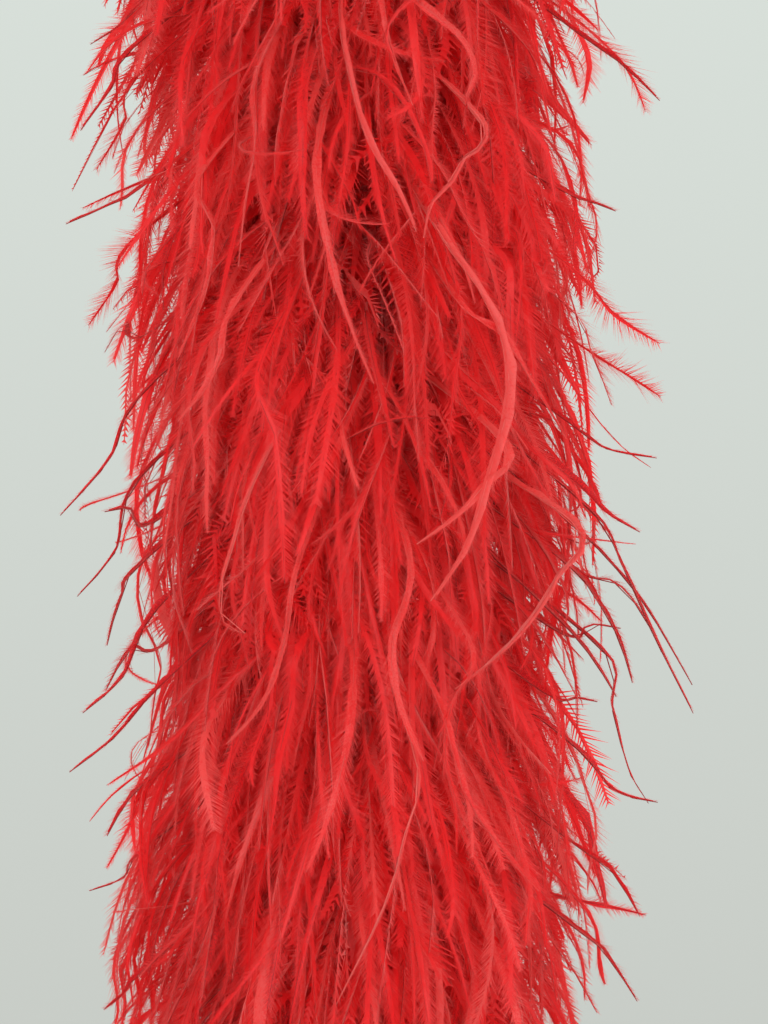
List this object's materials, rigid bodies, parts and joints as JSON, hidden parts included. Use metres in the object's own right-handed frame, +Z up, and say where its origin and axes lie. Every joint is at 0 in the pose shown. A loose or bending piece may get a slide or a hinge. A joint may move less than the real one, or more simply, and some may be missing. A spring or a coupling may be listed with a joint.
{
  "type": "feather boa",
  "caption": "Long feather boa of dyed ostrich plume strands twisted round a core cord, with a cord loop to hang it by; it bends along its length.",
  "frame": {"origin": "inside top of the hanging loop, where the boa bears on a hook", "axes": "+Z up along the boa as it hangs; the loop lies in the XZ plane and opens along Y"},
  "size_m": [0.1758, 0.1758, 1.829],
  "materials": {
    "plume": "soft dyed ostrich flue, scarlet, matt with a faint sheen",
    "strand_string": "two-ply cotton string, dyed red",
    "core_cord": "twisted cotton cord, dyed red",
    "loop_cord": "three-strand twisted cord, dyed red",
    "whipping_thread": "wound sewing thread, slight sheen"
  },
  "bodies": {
    "length_1": {"top_loop": "loop_cord", "top_whipping": "whipping_thread", "core_cord_1": "core_cord", "strand_a_1": "strand_string", "strand_b_1": "strand_string", "strand_c_1": "strand_string", "strand_d_1": "strand_string", "feather_ruff_1": "plume"},
    "length_2": {"core_cord_2": "core_cord", "strand_a_2": "strand_string", "strand_b_2": "strand_string", "strand_c_2": "strand_string", "strand_d_2": "strand_string", "feather_ruff_2": "plume"},
    "length_3": {"core_cord_3": "core_cord", "strand_a_3": "strand_string", "strand_b_3": "strand_string", "strand_c_3": "strand_string", "strand_d_3": "strand_string", "feather_ruff_3": "plume"},
    "length_4": {"core_cord_4": "core_cord", "strand_a_4": "strand_string", "strand_b_4": "strand_string", "strand_c_4": "strand_string", "strand_d_4": "strand_string", "feather_ruff_4": "plume"},
    "length_5": {"core_cord_5": "core_cord", "strand_a_5": "strand_string", "strand_b_5": "strand_string", "strand_c_5": "strand_string", "strand_d_5": "strand_string", "feather_ruff_5": "plume"},
    "length_6": {"core_cord_6": "core_cord", "strand_a_6": "strand_string", "strand_b_6": "strand_string", "strand_c_6": "strand_string", "strand_d_6": "strand_string", "feather_ruff_6": "plume"},
    "length_7": {"core_cord_7": "core_cord", "strand_a_7": "strand_string", "strand_b_7": "strand_string", "strand_c_7": "strand_string", "strand_d_7": "strand_string", "feather_ruff_7": "plume"},
    "length_8": {"core_cord_8": "core_cord", "strand_a_8": "strand_string", "strand_b_8": "strand_string", "strand_c_8": "strand_string", "strand_d_8": "strand_string", "feather_ruff_8": "plume", "bottom_whipping": "whipping_thread"}
  },
  "joints": [
    {"name": "bend_1", "type": "hinge", "parent": "length_1", "child": "length_2", "pos_m": [0, 0, -0.265], "axis": [1, 0, 0], "range_deg": [-50, 50]},
    {"name": "bend_2", "type": "hinge", "parent": "length_2", "child": "length_3", "pos_m": [0, 0, -0.47], "axis": [0, 1, 0], "range_deg": [-50, 50]},
    {"name": "bend_3", "type": "hinge", "parent": "length_3", "child": "length_4", "pos_m": [0, 0, -0.675], "axis": [1, 0, 0], "range_deg": [-50, 50]},
    {"name": "bend_4", "type": "hinge", "parent": "length_4", "child": "length_5", "pos_m": [0, 0, -0.88], "axis": [0, 1, 0], "range_deg": [-50, 50]},
    {"name": "bend_5", "type": "hinge", "parent": "length_5", "child": "length_6", "pos_m": [0, 0, -1.085], "axis": [1, 0, 0], "range_deg": [-50, 50]},
    {"name": "bend_6", "type": "hinge", "parent": "length_6", "child": "length_7", "pos_m": [0, 0, -1.29], "axis": [0, 1, 0], "range_deg": [-50, 50]},
    {"name": "bend_7", "type": "hinge", "parent": "length_7", "child": "length_8", "pos_m": [0, 0, -1.495], "axis": [1, 0, 0], "range_deg": [-50, 50]}
  ]
}
